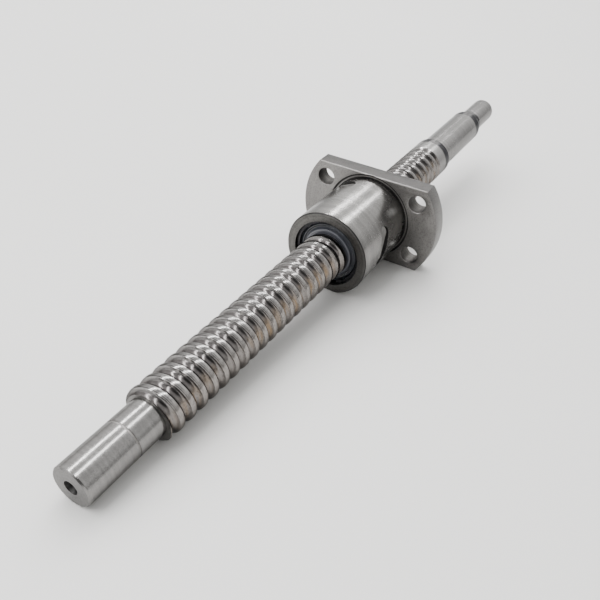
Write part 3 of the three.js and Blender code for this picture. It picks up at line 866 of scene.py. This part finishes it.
def make_deflector(circuit, material):
    """The insert in a slot. Its top's edge lies under the nut's round surface, its middle is flat."""
    clearance = 0.1
    top_radius = 12.5
    floor = 9.8
    longest_edge, cuts = 2.2, 12
    # Each ring of the outline as (how far it is drawn in, how far it is below the top's radius).
    rounding = ((0.0, 0.18), (0.06, 0.05), (0.18, 0.0))
    half_length = POCKET_HALF_LENGTH - clearance
    outline = obround(POCKET_HALF_WIDTH - clearance, half_length)
    bm = bmesh.new()
    rings = []
    for inset, drop in ((0.0, None), *rounding):
        ring = []
        for x, y in outline:
            along = x * (1 - inset / half_length)
            across = y * (1 - inset / POCKET_HALF_WIDTH)
            side = along * math.cos(POCKET_SLANT) + across * math.sin(POCKET_SLANT)
            surface = math.sqrt(top_radius ** 2 - side ** 2)
            height = floor if drop is None else surface - drop
            ring.append(bm.verts.new(Vector((along, across, height)) * MM))
        rings.append(ring)
    for lower, upper in zip(rings, rings[1:]):
        for i in range(len(outline)):
            j = (i + 1) % len(outline)
            bm.faces.new((lower[i], lower[j], upper[j], upper[i]))
    bm.faces.new(rings[0])
    # The top is made of strips that run from one rounded end to the other, cut into short lengths.
    top = rings[-1]
    half = len(top) // 2
    strips = [[top[(half - 1 - i) % len(top)], top[half + i]] for i in range(half)]
    for (first, second), (third, fourth) in zip(strips, strips[1:]):
        bm.faces.new((first, second, fourth, third))
    long_edges = [
        edge for edge in bm.edges
        if all(vert in top for vert in edge.verts) and edge.calc_length() > longest_edge * MM
    ]
    bmesh.ops.subdivide_edges(bm, edges=long_edges, cuts=cuts)
    bmesh.ops.transform(bm, matrix=pocket_matrix(circuit), verts=bm.verts)
    name = f"deflector_insert_{circuit + 1}"
    return finished_object(name, bm, [material], "nut", [f"deflector_{circuit + 1}"])


def screw_radius(x, angle):
    """The radius of the threaded part at a place along X and round the axis, in millimetres."""
    offset = LEAD * (((x - LAND_X) / LEAD - angle / math.tau) % 1) - LEAD / 2
    if abs(offset) >= GROOVE_RADIUS:
        return THREAD_RADIUS
    return min(THREAD_RADIUS, BALL_CIRCLE_RADIUS - math.sqrt(GROOVE_RADIUS ** 2 - offset ** 2))


def make_wiper(name, face_x, into, node, material):
    """A stepped wiper: a flat rim, a raised middle ring and a lip whose bore follows the thread."""
    # Places behind the face are in millimetres, as (how far, radius).
    lip, back = 0.9, 3.1
    bore_steps = 14
    corners = [
        (back, WIPER_OUTER),
        (2.1, WIPER_OUTER),
        (2.1, 9.0),
        (1.6, 8.75),
        (1.6, 8.35),
        (1.95, 8.2),
        (1.95, 7.85),
        (1.0, 7.5),
        (lip, WIPER_BORE + 0.1),
    ]
    profile = rounded(corners, 0.15)
    for step in range(bore_steps + 1):
        profile.append((lip + (back - lip) * step / bore_steps, WIPER_BORE))
    bm = bmesh.new()
    add_turned(bm, [(face_x + into * x, radius) for x, radius in profile], closed=True)
    for vert in bm.verts:
        x, y, z = vert.co / MM
        if math.hypot(y, z) < WIPER_BORE + 0.01:
            angle = math.atan2(z, y)
            vert.co = around_x(x, screw_radius(x, angle) + WIPER_CLEARANCE, angle)
    return finished_object(name, bm, [material], "nut", [node])


def make_snap_ring(name, face_x, into, node, material):
    """An internal snap ring with slightly rounded edges, open at the bottom."""
    middle = face_x + into * (SNAP_GROOVE_INSET + SNAP_GROOVE_WIDTH / 2)
    half = SNAP_RING_THICKNESS / 2
    section = rounded([
        (middle - half, SNAP_RING_INNER),
        (middle - half, SNAP_RING_OUTER),
        (middle + half, SNAP_RING_OUTER),
        (middle + half, SNAP_RING_INNER),
    ], 0.1, closed=True)
    start = -math.pi / 2 + SNAP_RING_GAP
    sweep = math.tau - 2 * SNAP_RING_GAP
    steps = 120
    bm = bmesh.new()
    rings = []
    for step in range(steps + 1):
        angle = start + sweep * step / steps
        rings.append([bm.verts.new(around_x(x, radius, angle)) for x, radius in section])
    for first, second in zip(rings, rings[1:]):
        for i in range(len(section)):
            j = (i + 1) % len(section)
            bm.faces.new((first[i], first[j], second[j], second[i]))
    bm.faces.new(rings[0])
    bm.faces.new(rings[-1])
    return finished_object(name, bm, [material], "snap_rings", [node])


def make_balls(circuit, material):
    """The balls of one circuit, each round and in the place of its CAD node."""
    nodes = sorted(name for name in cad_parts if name.startswith(f"ball_{circuit + 1}_"))
    bm = bmesh.new()
    for node in nodes:
        low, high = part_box(node)
        centre = (Vector(low) + Vector(high)) / 2
        bmesh.ops.create_uvsphere(
            bm,
            u_segments=24,
            v_segments=14,
            radius=BALL_RADIUS * MM,
            matrix=Matrix.Translation(centre),
        )
    return finished_object(f"balls_{circuit + 1}", bm, [material], "nut", nodes)


# ---- Setting ----

# In metres, as are the places of the lights.
LIGHT_LENGTH = 2.6
LIGHT_X = 0.3


def make_floor():
    """A pale sweep, 6 m wide, that the front journal and the flange's front edge rest on."""
    reach = 3.0
    count = 24
    front = Vector((-SHAFT_END_X, 0, -FRONT_JOURNAL_RADIUS)) * MM
    flange = Vector((FLANGE_FRONT_X, 0, -FLANGE_HALF_FLATS)) * MM
    along = (flange - front).normalized() * reach
    across = Vector((0, 1, 0)) * reach
    shares = [2 * i / count - 1 for i in range(count + 1)]
    bm = bmesh.new()
    grid = [[bm.verts.new(front + along * u + across * v) for v in shares] for u in shares]
    for i in range(count):
        for j in range(count):
            bm.faces.new((grid[i][j], grid[i + 1][j], grid[i + 1][j + 1], grid[i][j + 1]))
    shader = Shader("floor_paper", (0.74, 0.74, 0.73), 0.6, metallic=0.0)
    clouds = shader.noise(shader.place, scale=3.0, detail=2)
    shader.colour(shader.mix(clouds, (0.664, 0.659, 0.648), (0.678, 0.673, 0.662)))
    shader.roughness(shader.spread(clouds, 0.55, 0.65))
    floor = finished_object("floor", bm, [shader.material])


def strip_light(name, y, z, width, energy, soft=False):
    """A long light over the object, parallel to the screw and facing it. A soft one lights the
    paper and isn't mirrored in the steel; the others are mirrored in it and leave the paper alone."""
    data = bpy.data.lights.new(name, "AREA")
    data.shape = "RECTANGLE"
    data.size = LIGHT_LENGTH
    data.size_y = width
    data.energy = energy
    light = bpy.data.objects.new(name, data)
    down = Vector((0, -y, -z)).normalized()
    along = Vector((1, 0, 0))
    across = (-down).cross(along)
    light.matrix_world = Matrix((along, across, -down)).transposed().to_4x4()
    light.location = (LIGHT_X, y, z)
    light.visible_diffuse = soft
    light.visible_glossy = not soft
    bpy.context.scene.collection.objects.link(light)


def make_world():
    """A plain room, brightest at mid height, greyer on one side, and dark behind the camera."""
    behind_camera = (-0.69, -0.40, 0.61)
    # Each is (height, from 0 at the horizon to 1 overhead, and level of grey).
    levels = ((0.0, 0.40), (0.15, 0.45), (0.4, 0.75), (0.7, 0.62), (0.98, 0.5))
    world = bpy.data.worlds.new("studio")
    bpy.context.scene.world = world
    world.use_nodes = True
    nodes, links = world.node_tree.nodes, world.node_tree.links
    place = nodes.new("ShaderNodeTexCoord")
    split = nodes.new("ShaderNodeSeparateXYZ")
    links.new(place.outputs["Generated"], split.inputs[0])
    height = nodes.new("ShaderNodeValToRGB")
    links.new(split.outputs["Z"], height.inputs["Fac"])
    ramp = height.color_ramp
    for position, level in levels:
        stop = ramp.elements.new(position)
        stop.color = (level, level, level * 0.99, 1)
    ramp.elements.remove(ramp.elements[0])
    ramp.elements.remove(ramp.elements[-1])

    def ranged(value, numbers):
        node = nodes.new("ShaderNodeMapRange")
        links.new(value, node.inputs["Value"])
        for name, number in zip(RANGE_SOCKETS, numbers):
            node.inputs[name].default_value = number
        return node.outputs[0]

    # Each is (from, to) along a direction and the strength at either, held beyond them.
    side = ranged(split.outputs["Y"], (-0.6, 0.4, 1.9, 2.7))
    end = ranged(split.outputs["X"], (0.5, 0.9, 1.0, 1.28))
    towards = nodes.new("ShaderNodeVectorMath")
    towards.operation = "DOT_PRODUCT"
    links.new(place.outputs["Generated"], towards.inputs[0])
    towards.inputs[1].default_value = behind_camera
    figure = ranged(towards.outputs["Value"], (0.80, 0.92, 1.0, 0.12))

    def product(first, second):
        node = nodes.new("ShaderNodeMath")
        node.operation = "MULTIPLY"
        links.new(first, node.inputs[0])
        links.new(second, node.inputs[1])
        return node.outputs[0]

    background = nodes["Background"]
    links.new(height.outputs["Color"], background.inputs["Color"])
    links.new(product(product(side, end), figure), background.inputs["Strength"])


def make_camera():
    """The viewpoint: in front of the free end, to its right and above."""
    right = Vector((0.52317, -0.85139, 0.03764))
    ahead = Vector((0.68751, 0.39554, -0.60900))
    place = Vector((-162.8, -75.4, 107.9)) * MM
    data = bpy.data.cameras.new("camera")
    data.sensor_width = 36.0
    data.lens = 40.5
    data.clip_start = 0.005
    data.clip_end = 20
    camera = bpy.data.objects.new("camera", data)
    up = right.cross(ahead)
    camera.matrix_world = Matrix((right, up, -ahead)).transposed().to_4x4()
    camera.location = place
    bpy.context.scene.collection.objects.link(camera)
    bpy.context.scene.camera = camera


# ---- Build ----

make_camera()
make_world()
make_floor()
strip_light("far_strip", 0.44, 0.80, width=0.085, energy=22)
strip_light("near_strip", -0.13, 0.85, width=0.085, energy=17)
strip_light("soft_box", 0.42, 0.75, width=0.9, energy=33, soft=True)

journal = turned_steel(
    "journal_steel",
    light=(0.25, 0.243, 0.238),
    dark=(0.17, 0.166, 0.162),
    roughness=0.21,
    edge=0.58,
)
# A dark band is painted on the end of the land, and from the end of the seat to the drive end,
# thinned along the top and the bottom as a painted highlight.
seat = turned_steel(
    "seat_steel",
    light=(0.28, 0.273, 0.269),
    dark=(0.2, 0.196, 0.192),
    roughness=0.24,
    edge=0.58,
    dark_bands=[(LAND_END_X - 3, REAR_SEAT_X), (REAR_SEAT_END_X - 3.2, DRIVE_END_X + 1.2)],
)
ground = turned_steel(
    "ground_nut_steel",
    light=(0.245, 0.239, 0.232),
    dark=(0.155, 0.151, 0.146),
    roughness=0.25,
    line_scale=600,
    edge=0.8,
)
faced = faced_steel(
    "faced_end_steel",
    light=(0.185, 0.18, 0.176),
    dark=(0.13, 0.126, 0.123),
    roughness=0.36,
)
front_face = faced_steel(
    "nut_face_steel",
    light=(0.13, 0.127, 0.121),
    dark=(0.085, 0.082, 0.079),
    roughness=0.42,
)
flange_steel = faced_steel(
    "flange_steel",
    light=(0.243, 0.235, 0.227),
    dark=(0.165, 0.16, 0.155),
    roughness=0.44,
    ring_share=0.2,
)
flats = faced_steel(
    "milled_flat_steel",
    light=(0.058, 0.0555, 0.0535),
    dark=(0.03, 0.0285, 0.0275),
    roughness=0.42,
    ring_share=0.1,
)
# A darker copy of the turned steel, with fine turning marks, for the bolt holes' walls: their
# darkness is painted shade.
bolt_hole_shade = turned_steel(
    "bored_hole_shade_steel",
    light=(0.125, 0.12, 0.115),
    dark=(0.06, 0.057, 0.054),
    roughness=0.58,
    line_scale=1600,
)
# The nearly black steel paints shade into the drilled centres and the nut's recesses.
dark = recess_shade_steel()

make_screw(journal, rolled_steel(), faced, dark, flange_steel, seat)
make_nut(ground, faced, front_face, flange_steel, dark, bolt_hole_shade, flats)
sintered = sintered_steel()
balls = ball_steel()
for circuit in range(len(CIRCUIT_ANGLES)):
    make_deflector(circuit, sintered)
    make_balls(circuit, balls)
plastic = wiper_plastic()
spring = spring_steel()
for label, face_x, into in (("front", NUT_FRONT_X, 1), ("rear", NUT_REAR_X, -1)):
    make_wiper(f"{label}_wiper_ring", face_x, into, f"{label}_wiper", plastic)
    make_snap_ring(f"{label}_retaining_ring", face_x, into, f"{label}_snap_ring", spring)
